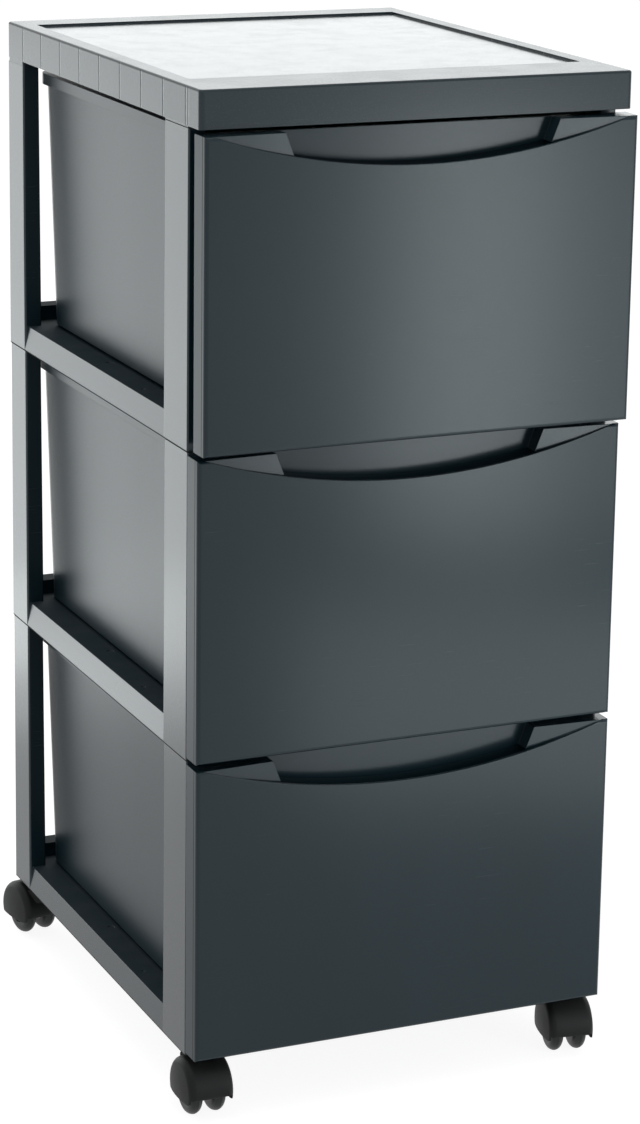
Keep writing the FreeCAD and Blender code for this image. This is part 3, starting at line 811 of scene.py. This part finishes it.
class MeshWork:
    """A mesh in the making, written in the frame of the piece and set down in the part's frame."""

    def __init__(self) -> None:
        """Start with an empty mesh."""
        self.mesh = bmesh.new()

    def turned(self, profile: Sequence[Spot], steps: int, axis: Matrix, closed: bool = False) -> None:
        """Turn a profile about an axis.

        Args:
            profile: Points along the axis and away from it, where a point on the axis is the end of the form.
            steps: How many flats the turn has.
            axis: The frame whose X is the axis.
            closed: Join the profile's last point to its first.
        """
        rings = []
        for along, reach in profile:
            if reach < ON_AXIS:
                rings.append([self.mesh.verts.new(axis @ Vector((along, 0.0, 0.0)))])
                continue
            ring = []
            for step in range(steps):
                angle = 2 * math.pi * step / steps
                spot = Vector((along, -reach * math.sin(angle), reach * math.cos(angle)))
                ring.append(self.mesh.verts.new(axis @ spot))
            rings.append(ring)
        pairs = list(zip(rings, rings[1:]))
        if closed:
            pairs.append((rings[-1], rings[0]))
        for low, high in pairs:
            self.skin(low, high, steps)

    def skin(self, low: Sequence[bmesh.types.BMVert], high: Sequence[bmesh.types.BMVert], steps: int) -> None:
        """Join two rings of a turned form with faces.

        Args:
            low: The first ring, or one point.
            high: The next ring, or one point.
            steps: How many flats the turn has.
        """
        for step in range(steps):
            after = (step + 1) % steps
            corners = [(low, step), (low, after), (high, after), (high, step)]
            unique = list(dict.fromkeys(ring[spot % len(ring)] for ring, spot in corners))
            if len(unique) > 2:
                self.mesh.faces.new(unique)

    def cut_below(self, height: float) -> None:
        """Cut the mesh level and close the cut.

        Args:
            height: The place of the cut along Z.
        """
        found = bmesh.ops.bisect_plane(
            self.mesh,
            geom=[*self.mesh.verts, *self.mesh.edges, *self.mesh.faces],
            plane_co=(0.0, 0.0, height),
            plane_no=(0.0, 0.0, -1.0),
            clear_outer=True,
        )
        edges = [item for item in found["geom_cut"] if isinstance(item, bmesh.types.BMEdge)]
        bmesh.ops.triangle_fill(self.mesh, edges=edges, use_beauty=True, use_dissolve=True)

    def block(self, low: Place, high: Place) -> None:
        """Add a block between two corners.

        Args:
            low: The low corner.
            high: The high corner.
        """
        middle = (Vector(low) + Vector(high)) / 2
        spread = Matrix.Diagonal((*(Vector(high) - Vector(low)), 1.0))
        bmesh.ops.create_cube(self.mesh, size=1.0, matrix=Matrix.Translation(middle) @ spread)

    def round_off(self, half: float, end: int, corner: Spot, radius: float, steps: int) -> None:
        """Add the piece that rounds off a lower corner, drawn out along X.

        Args:
            half: Half the piece's width.
            end: The end along Y that the corner is at, -1 or 1.
            corner: How far away the corner is along Y, and its height.
            radius: The corner's radius.
            steps: How many spans its arc has.
        """
        reach, floor = corner
        centre = (reach - radius, floor + radius)
        far, low = reach + radius, floor - radius
        outside = [(far, floor + radius), (far, low), (centre[0], low)]
        outline = [*arc(centre, radius, -90.0, 0.0, steps), *outside]
        left = [self.mesh.verts.new((-half, end * along, up)) for along, up in outline]
        right = [self.mesh.verts.new((half, end * along, up)) for along, up in outline]
        self.mesh.faces.new(left)
        self.mesh.faces.new(right)
        for spot in range(len(outline)):
            after = (spot + 1) % len(outline)
            self.mesh.faces.new((left[spot], left[after], right[after], right[spot]))

    def raw(self, name: str) -> Piece:
        """Set the mesh down as it is.

        Args:
            name: The object's name.

        Returns:
            The new object.
        """
        bmesh.ops.recalc_face_normals(self.mesh, faces=self.mesh.faces)
        data = bpy.data.meshes.new(name)
        self.mesh.to_mesh(data)
        self.mesh.free()
        return set_down(name, data)


def carved(body: Piece, cutters: Sequence[Piece]) -> Piece:
    """Cut closed meshes out of a body.

    Args:
        body: The body, whose mesh is changed.
        cutters: The meshes that are taken away, and removed after it.

    Returns:
        The body.
    """
    for cutter in cutters:
        cut = body.modifiers.new(cutter.name, "BOOLEAN")
        cut.operation = "DIFFERENCE"
        cut.solver = "EXACT"
        cut.object = cutter
    bpy.context.view_layer.update()
    whole = body.evaluated_get(bpy.context.evaluated_depsgraph_get())
    body.data = bpy.data.meshes.new_from_object(whole)
    body.modifiers.clear()
    for cutter in cutters:
        data = cutter.data
        bpy.data.objects.remove(cutter)
        bpy.data.meshes.remove(data)
    return body


def finished(piece: Piece, place: Matrix, bevel: float, smooth_angle: float = 35.0) -> Piece:
    """Set a piece down in the part's frame with small bevels and smooth faces.

    Args:
        piece: The piece.
        place: The frame of the piece in the part's frame.
        bevel: The width of the small bevel on its sharp edges.
        smooth_angle: Edges that turn less than this are smooth, in degrees.

    Returns:
        The piece.
    """
    piece.data.transform(place)
    for polygon in piece.data.polygons:
        polygon.use_smooth = True
    edges = piece.modifiers.new("edges", "BEVEL")
    edges.width = bevel
    edges.segments = 2
    edges.limit_method = "ANGLE"
    edges.angle_limit = math.radians(smooth_angle)
    weights = piece.modifiers.new("weights", "WEIGHTED_NORMAL")
    weights.keep_sharp = True
    return piece


def arc(centre: Spot, radius: float, start: float, end: float, steps: int = ARC_STEPS) -> list[Spot]:
    """Give the points of an arc in a profile.

    Args:
        centre: The arc's centre, along the axis and away from it.
        radius: The arc's radius.
        start: The first angle in degrees from the axis.
        end: The last angle in degrees.
        steps: How many spans the arc has.

    Returns:
        The points in order.
    """
    points = []
    for step in range(steps + 1):
        angle = math.radians(start + (end - start) * step / steps)
        points.append((centre[0] + radius * math.cos(angle), centre[1] + radius * math.sin(angle)))
    return points


@dataclass
class Lid:
    """The lid: a skirted tray that closes the top of the tower."""

    node: str = "lid"
    tray_depth: float = 1.5 * MM
    rib_pitch: float = 38.0 * MM
    last_rib_inset: float = 32.7 * MM
    corner_inset: float = 19.1 * MM

    def build(self) -> Iterator[Piece]:
        """Dress the lid.

        Yields:
            Each finished piece.
        """
        low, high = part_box(self.node)
        finish = LidPlastic(
            name="lid_finish",
            colour=ANTHRACITE,
            roughness=0.25,
            tray_top=high.z - self.tray_depth,
            rib_start=high.y - self.last_rib_inset,
            rib_pitch=self.rib_pitch,
            corner=low.y + self.corner_inset,
            wave_depth=0.1 * MM,
            refraction=1.42,
        )
        yield dress(self.node, finish.material())


@dataclass
class FrameTier:
    """One moulded frame: four posts on a ring of rails."""

    tier: Tier

    def build(self) -> Iterator[Piece]:
        """Dress the frame.

        Yields:
            Each finished piece.
        """
        finish = FramePlastic(
            name="frame_finish", colour=ANTHRACITE, roughness=0.24, refraction=1.45, dust=0.03
        )
        yield dress(f"frame_{self.tier.value}", finish.material())


@dataclass
class Drawer:
    """A drawer: the bin and its moulded front."""

    tier: Tier
    bow_reach: float = 200.0 * MM
    parting_inset: float = 5.0 * MM

    def build(self) -> Iterator[Piece]:
        """Dress the bin and the front.

        Yields:
            Each finished piece.
        """
        tray, front = f"drawer_{self.tier.value}_bin", f"drawer_{self.tier.value}_front"
        bin_finish = BinPlastic(
            name=f"bin_finish_{self.tier.value}",
            colour=ANTHRACITE,
            roughness=0.36,
            refraction=1.36,
            scuffs=0.4,
            bow_start=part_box(tray)[1].y - self.bow_reach,
            bow_length=self.bow_reach,
        )
        front_finish = FrontPlastic(
            name=f"front_finish_{self.tier.value}",
            colour=ANTHRACITE,
            roughness=0.22,
            dust=0.03,
            parting=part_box(front)[0].y + self.parting_inset,
        )
        yield dress(tray, bin_finish.material())
        yield dress(front, front_finish.material())


@dataclass
class Castor:
    """A castor: two wheels on an axle under a hood with a collar for the stem."""

    end: End
    side: Side
    wheel_radius: float = 15.0 * MM
    wheel_width: float = 10.4 * MM
    tread_radius: float = 4.8 * MM
    dish_rim: float = 3.0 * MM
    dish_depth: float = 1.5 * MM
    hub_radius: float = 4.5 * MM
    axle_radius: float = 2.0 * MM
    running_gap: float = 0.05 * MM
    web: float = 5.5 * MM
    side_gap: float = 0.6 * MM
    hood_wall: float = 2.6 * MM
    hood_gap: float = 2.9 * MM
    hood_rise: float = 3.0 * MM
    hood_edge: float = 5.5 * MM
    hood_bevel: float = 0.4 * MM
    crown_start: float = 3.2 * MM
    cheek_crown: float = 1.3 * MM
    cheek_bow: tuple[Spot, ...] = ((0.55, 0.58), (0.16, 0.36), (0.03, 0.2))
    well_corner: float = 1.6 * MM
    cheek_floor: float = 12.2 * MM
    wheel_inset: float = 1.2 * MM
    lip_radius: float = 7.0 * MM
    lip_over_axle: float = 1.5 * MM
    boss_wall: float = 1.8 * MM
    trail: float = 11.0 * MM
    collar_radius: float = 7.5 * MM
    collar_flare: float = 2.4 * MM
    collar_edge: float = 0.8 * MM
    collar_soft: float = 0.2 * MM
    collar_foot: float = 0.45
    groove_half: float = 0.3 * MM
    groove_depth: float = 0.1 * MM
    step_width: float = 0.8 * MM
    dish_slope: float = 0.5 * MM
    inner_dish: float = 0.6
    wheel_bevel: float = 0.15 * MM
    turn_steps: int = 96
    boss_steps: int = 48
    flare_steps: int = 6
    lip_steps: int = 10

    @property
    def name(self) -> str:
        """Give the castor's name, which is also its body's."""
        return f"castor_{self.end.value}_{self.side.value}"

    @property
    def hood_half(self) -> float:
        """Give half the hood's width."""
        return self.web / 2 + self.wheel_width + 2 * self.side_gap + self.hood_wall

    @property
    def hood_radius(self) -> float:
        """Give the hood's radius."""
        return self.wheel_radius + self.hood_gap + self.hood_wall

    def axle_frame(self) -> Matrix:
        """Give the frame at the middle of the axle, with X along it and Z up."""
        roll = joint_of(f"{self.name}_wheel_left_roll")
        along = Vector(roll["axis"]).normalized()
        up = Vector((0.0, 0.0, 1.0))
        turn = Matrix((along, up.cross(along), up)).transposed().to_4x4()
        return Matrix.Translation(Vector(roll["pos_m"])) @ turn

    def hood(self) -> Piece:
        """Build the hood: a crowned shell open below, cheeks outside the wheels, a web between them.

        Returns:
            The finished piece.
        """
        half, radius, edge = self.hood_half, self.hood_radius, self.hood_edge
        crowned = half - self.cheek_crown
        right = [
            (crowned - edge - self.crown_start, radius),
            *arc((crowned - edge, radius - edge), edge, 84.0, 14.0),
            *((half - self.cheek_crown * fall, radius * share) for fall, share in self.cheek_bow),
            (half, 0.0),
        ]
        left = [(-along, reach) for along, reach in reversed(right)]
        centre = Matrix.Translation((0.0, 0.0, self.hood_rise))
        shell = MeshWork()
        shell.turned([*left, *right], self.turn_steps, centre)
        shell.cut_below(self.cheek_floor - self.wheel_radius)
        inner = half - self.hood_wall
        cutters = []
        for side in Side:
            well = MeshWork()
            reach = self.wheel_radius + self.hood_gap
            near, cut = self.web / 2, self.well_corner
            chamfer = [(inner - cut, reach), (inner, reach - cut)]
            profile = [(near, 0.0), (near, reach), *chamfer, (inner, 0.0)]
            well.turned([(side.sign * along, away) for along, away in profile], self.turn_steps, centre)
            cutters.append(well.raw(f"{self.name}_well_{side.value}"))
        mouth = MeshWork()
        mouth.block((-inner, -2 * radius, -2 * radius), (inner, 2 * radius, self.lip_over_axle))
        cutters.append(mouth.raw(f"{self.name}_mouth"))
        for end in (-1, 1):
            toe = MeshWork()
            corner = (radius, self.cheek_floor - self.wheel_radius)
            toe.round_off(2 * half, end, corner, self.lip_radius, self.lip_steps)
            cutters.append(toe.raw(f"{self.name}_toe_{'front' if end < 0 else 'back'}"))
        hood = carved(shell.raw(f"{self.name}_hood"), cutters)
        return finished(self.joined(hood, self.fittings()), self.axle_frame(), self.hood_bevel)

    def fittings(self) -> MeshWork:
        """Build the web's boss and the collar that takes the stem.

        Returns:
            The mesh of both.
        """
        work = MeshWork()
        level = Matrix.Identity(4)
        boss = self.axle_radius + self.boss_wall
        web = self.web / 2
        work.turned([(-web, 0.0), (-web, boss), (web, boss), (web, 0.0)], self.boss_steps, level)
        housing_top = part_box(f"{self.name}_housing")[1].z - self.wheel_radius
        foot = self.hood_rise + self.hood_radius * self.collar_foot
        rise = self.hood_rise + math.sqrt(self.hood_radius**2 - self.trail**2)
        upright = Matrix.Translation((0.0, self.trail, 0.0)) @ Matrix.Rotation(-math.pi / 2, 4, "Y")
        flare = self.collar_radius + self.collar_flare
        bend = (rise + self.collar_flare, flare)
        profile = [
            (foot, 0.0),
            (foot, flare),
            *reversed(arc(bend, self.collar_flare, 180.0, 270.0, self.flare_steps)),
            (housing_top - self.collar_edge, self.collar_radius),
            (housing_top - self.collar_soft, self.collar_radius - self.collar_soft),
            (housing_top, self.collar_radius - self.collar_edge),
            (housing_top, 0.0),
        ]
        work.turned(sorted(profile, key=lambda spot: spot[0]), self.turn_steps, upright)
        return work

    def joined(self, piece: Piece, more: MeshWork) -> Piece:
        """Add more closed forms to a piece.

        Args:
            piece: The piece.
            more: The forms to add.

        Returns:
            The piece.
        """
        bmesh.ops.recalc_face_normals(more.mesh, faces=more.mesh.faces)
        more.mesh.from_mesh(piece.data)
        more.mesh.to_mesh(piece.data)
        more.mesh.free()
        return piece

    def wheel(self, side: Side) -> Piece:
        """Build one wheel: a rounded tread, a dished outer face and a hub.

        Args:
            side: The side of the hood that the wheel runs on.

        Returns:
            The finished piece.
        """
        near = self.web / 2 + self.side_gap
        far = near + self.wheel_width - self.wheel_inset
        radius, tread = self.wheel_radius, self.tread_radius
        bore = self.axle_radius + self.running_gap
        dish = radius - tread - self.dish_rim
        middle = (near + far) / 2
        profile = [
            (near, bore),
            (near, self.hub_radius),
            (near + self.dish_depth * self.inner_dish, self.hub_radius + self.step_width),
            (near + self.dish_depth * self.inner_dish, dish - self.step_width),
            (near, dish),
            *arc((near + tread, radius - tread), tread, 180.0, 94.0),
            (middle - self.groove_half, radius),
            (middle, radius - self.groove_depth),
            (middle + self.groove_half, radius),
            *arc((far - tread, radius - tread), tread, 86.0, 0.0),
            (far, dish),
            (far - self.dish_depth, dish - self.dish_slope),
            (far - self.dish_depth, self.hub_radius + self.dish_slope),
            (far, self.hub_radius),
            (far, bore),
        ]
        work = MeshWork()
        mirrored = [(side.sign * along, reach) for along, reach in profile]
        work.turned(mirrored, self.turn_steps, Matrix.Identity(4), closed=True)
        return finished(work.raw(f"{self.name}_twin_{side.value}"), self.axle_frame(), self.wheel_bevel)

    def build(self) -> Iterator[Piece]:
        """Build the hood and the wheels, and dress the steel.

        Yields:
            Each finished piece.
        """
        hood_finish = MouldedPlastic(
            name="castor_hood_finish",
            colour=CASTOR_BLACK,
            roughness=0.5,
            refraction=1.25,
            wave_depth=0.0,
            grain_depth=0.01 * MM,
            dust=0.04,
        )
        wheel_finish = MouldedPlastic(
            name="castor_wheel_finish",
            colour=CASTOR_BLACK,
            roughness=0.42,
            wave_depth=0.0,
            dust=0.0,
            scuffs=0.6,
        )
        steel = PlatedSteel(name="plated_steel", colour=(0.55, 0.55, 0.56))
        hood = self.hood()
        hood.data.materials.append(hood_finish.material())
        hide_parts(f"{self.name}_housing")
        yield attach(hood, self.name)
        for side in Side:
            wheel = self.wheel(side)
            wheel.data.materials.append(wheel_finish.material())
            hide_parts(f"{self.name}_wheel_{side.value}")
            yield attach(wheel, f"{self.name}_wheel_{side.value}")
        for node in ("stem", "axle"):
            yield dress(f"{self.name}_{node}", steel.material())


@dataclass(frozen=True)
class SoftBox:
    """A soft light: a glowing rectangle that looks at the object and stays out of the camera's sight."""

    name: str
    place: Place
    aim: Place
    width: float
    height: float
    glow: float
    tone: Colour = (0.95, 1.0, 1.01)

    def build(self) -> Piece:
        """Set the light up.

        Returns:
            The light's object.
        """
        data = bpy.data.lights.new(self.name, "AREA")
        data.shape = "RECTANGLE"
        data.color = self.tone
        data.size = self.width
        data.size_y = self.height
        data.energy = self.glow * math.pi * self.width * self.height
        lamp = set_down(self.name, data)
        lamp.location = self.place
        lamp.rotation_euler = (Vector(self.aim) - Vector(self.place)).to_track_quat("-Z", "Y").to_euler()
        lamp.visible_camera = False
        return lamp


@dataclass
class Studio:
    """A pale floor under plain soft light, with a white surround."""

    floor_reach: float = 9.0
    floor_tone: float = 0.8
    floor_warmth: float = 1.02
    tooth_scale: float = 240.0
    tooth_detail: float = 3.0
    floor_share: float = 0.24
    floor_glow: float = 0.9
    surround_glow: float = 0.55
    boxes: tuple[SoftBox, ...] = (
        SoftBox("back_box", (1.2, 2.75, 1.05), (0.0, 0.0, 0.66), 2.8, 1.4, 1.05),
        SoftBox("side_box", (-0.41, 0.73, 0.17), (-0.08, -0.02, 0.17), 0.62, 0.34, 1.6),
        SoftBox("side_high_box", (-0.41, 0.73, 0.48), (-0.08, -0.02, 0.48), 0.62, 0.28, 1.5),
        SoftBox("side_low_box", (-0.39, 0.57, 0.07), (-0.09, -0.11, 0.07), 0.34, 0.14, 0.75),
        SoftBox("wide_box", (0.6, -1.02, 0.34), (0.12, -0.19, 0.34), 0.42, 0.44, 1.8),
        SoftBox("narrow_box", (0.45, -1.04, 0.34), (0.04, -0.19, 0.34), 0.14, 0.46, 5.6),
        SoftBox("low_box", (0.34, -0.66, 0.08), (0.12, -0.19, 0.08), 0.4, 0.16, 2.2),
        SoftBox("top_box", (-0.3, -0.4, 2.7), (0.0, 0.0, 0.4), 1.8, 1.8, 1.2),
    )

    def background_rays(self, graph: Graph) -> Socket:
        """Give 1 for the rays that show the background itself, seen straight, mirrored or through glass."""
        path = graph.add("ShaderNodeLightPath").outputs
        seen = graph.math("MAXIMUM", path["Is Camera Ray"], path["Is Glossy Ray"])
        return graph.math("MAXIMUM", seen, path["Is Transmission Ray"])

    def floor(self) -> Piece:
        """Lay the floor.

        Returns:
            The floor's object.
        """
        data = bpy.data.meshes.new("floor")
        reach = self.floor_reach
        corners = [(-reach, -reach, 0.0), (reach, -reach, 0.0), (reach, reach, 0.0), (-reach, reach, 0.0)]
        data.from_pydata(corners, [], [(0, 1, 2, 3)])
        made = set_down("floor", data)
        material, graph = blank("floor_white")
        place = graph.add("ShaderNodeTexCoord").outputs["Object"]
        tooth = graph.noise(place, self.tooth_scale, self.tooth_detail)
        plain = graph.add("ShaderNodeBsdfDiffuse")
        cool, warm = self.floor_tone, self.floor_tone * self.floor_warmth
        graph.feed(plain.inputs["Color"], graph.mix(tooth, opaque([cool] * 3), opaque((warm, warm, cool))))
        shown = graph.add("ShaderNodeBsdfDiffuse")
        shown.inputs["Color"].default_value = opaque([self.floor_share] * 3)
        glow = graph.add("ShaderNodeEmission")
        glow.inputs["Strength"].default_value = self.floor_glow
        both = graph.add("ShaderNodeAddShader")
        graph.feed(both.inputs[0], shown.outputs[0])
        graph.feed(both.inputs[1], glow.outputs[0])
        mixed = graph.add("ShaderNodeMixShader")
        graph.feed(mixed.inputs[0], self.background_rays(graph))
        graph.feed(mixed.inputs[1], plain.outputs[0])
        graph.feed(mixed.inputs[2], both.outputs[0])
        graph.show(mixed)
        data.materials.append(material)
        made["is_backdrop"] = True
        return made

    def surround(self) -> None:
        """Make the surround white to the eye and plain in its light."""
        world = bpy.data.worlds.new("surround")
        world.use_nodes = True
        world.node_tree.nodes.clear()
        graph = Graph(world.node_tree)
        strength = graph.remap(self.background_rays(graph), (0.0, 1.0), (self.surround_glow, 1.0))
        background = graph.add("ShaderNodeBackground")
        background.inputs["Color"].default_value = opaque([1.0] * 3)
        graph.feed(background.inputs["Strength"], strength)
        graph.show(background, "ShaderNodeOutputWorld")
        bpy.context.scene.world = world

    def build(self) -> None:
        """Set up the floor, the surround and the lights."""
        bpy.context.scene.view_settings.view_transform = "Standard"
        self.floor()
        self.surround()
        for box in self.boxes:
            box.build()
            LOG.info("light %s glows %.2f", box.name, box.glow)


@dataclass
class PhotoCamera:
    """The photograph's camera: its place about the tower, its lens and its framing."""

    photo_width: int = 640
    photo_height: int = 1124
    azimuth: float = -23.698
    elevation: float = 14.539
    roll: float = 0.787
    distance: float = 2.2142
    target_x: float = -0.0008
    target_y: float = -0.038776
    target_z: float = 0.3791
    focal_pixels: float = 3323.3
    axis_row: float = 480.0
    sensor: float = 36.0
    nearest: float = 0.05
    furthest: float = 60.0

    def build(self) -> Piece:
        """Set the camera up.

        Returns:
            The camera's object.
        """
        az, el, roll = (math.radians(x) for x in (self.azimuth, self.elevation, self.roll))
        ahead = Vector((-math.sin(az) * math.cos(el), math.cos(az) * math.cos(el), -math.sin(el)))
        level = ahead.cross(Vector((0.0, 0.0, 1.0))).normalized()
        upright = level.cross(ahead)
        right = math.cos(roll) * level + math.sin(roll) * upright
        up = -math.sin(roll) * level + math.cos(roll) * upright
        data = bpy.data.cameras.new("photo_camera")
        long_side = max(self.photo_width, self.photo_height)
        data.sensor_width = self.sensor
        data.lens = self.focal_pixels / long_side * self.sensor
        data.shift_y = (self.axis_row - self.photo_height / 2) / long_side
        data.clip_start, data.clip_end = self.nearest, self.furthest
        camera = set_down("photo_camera", data)
        target = Vector((self.target_x, self.target_y, self.target_z))
        turn = Matrix((right, up, -ahead)).transposed().to_4x4()
        camera.matrix_world = Matrix.Translation(target - ahead * self.distance) @ turn
        bpy.context.scene.camera = camera
        return camera


def write_sizes() -> None:
    """Work out the box of the solids and the box of the dressed part; neither is kept."""
    boxes = {"cad": CAD_BOX, "visual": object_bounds()}
    {name: [list(corner) for corner in box] for name, box in boxes.items()}


def main() -> None:
    """Dress the tower from the lid down, then set up the studio and the camera."""
    logging.basicConfig(level=logging.INFO, format="%(message)s")
    assemblies: list[Lid | FrameTier | Drawer | Castor] = [Lid()]
    assemblies += [FrameTier(tier) for tier in Tier]
    assemblies += [Drawer(tier) for tier in Tier]
    assemblies += [Castor(end, side) for end in End for side in Side]
    for assembly in assemblies:
        for piece in assembly.build():
            LOG.info("%s: %s, %d faces", type(assembly).__name__, piece.name, len(piece.data.polygons))
    Studio().build()
    PhotoCamera().build()
    write_sizes()


if __name__ == "__main__":
    main()
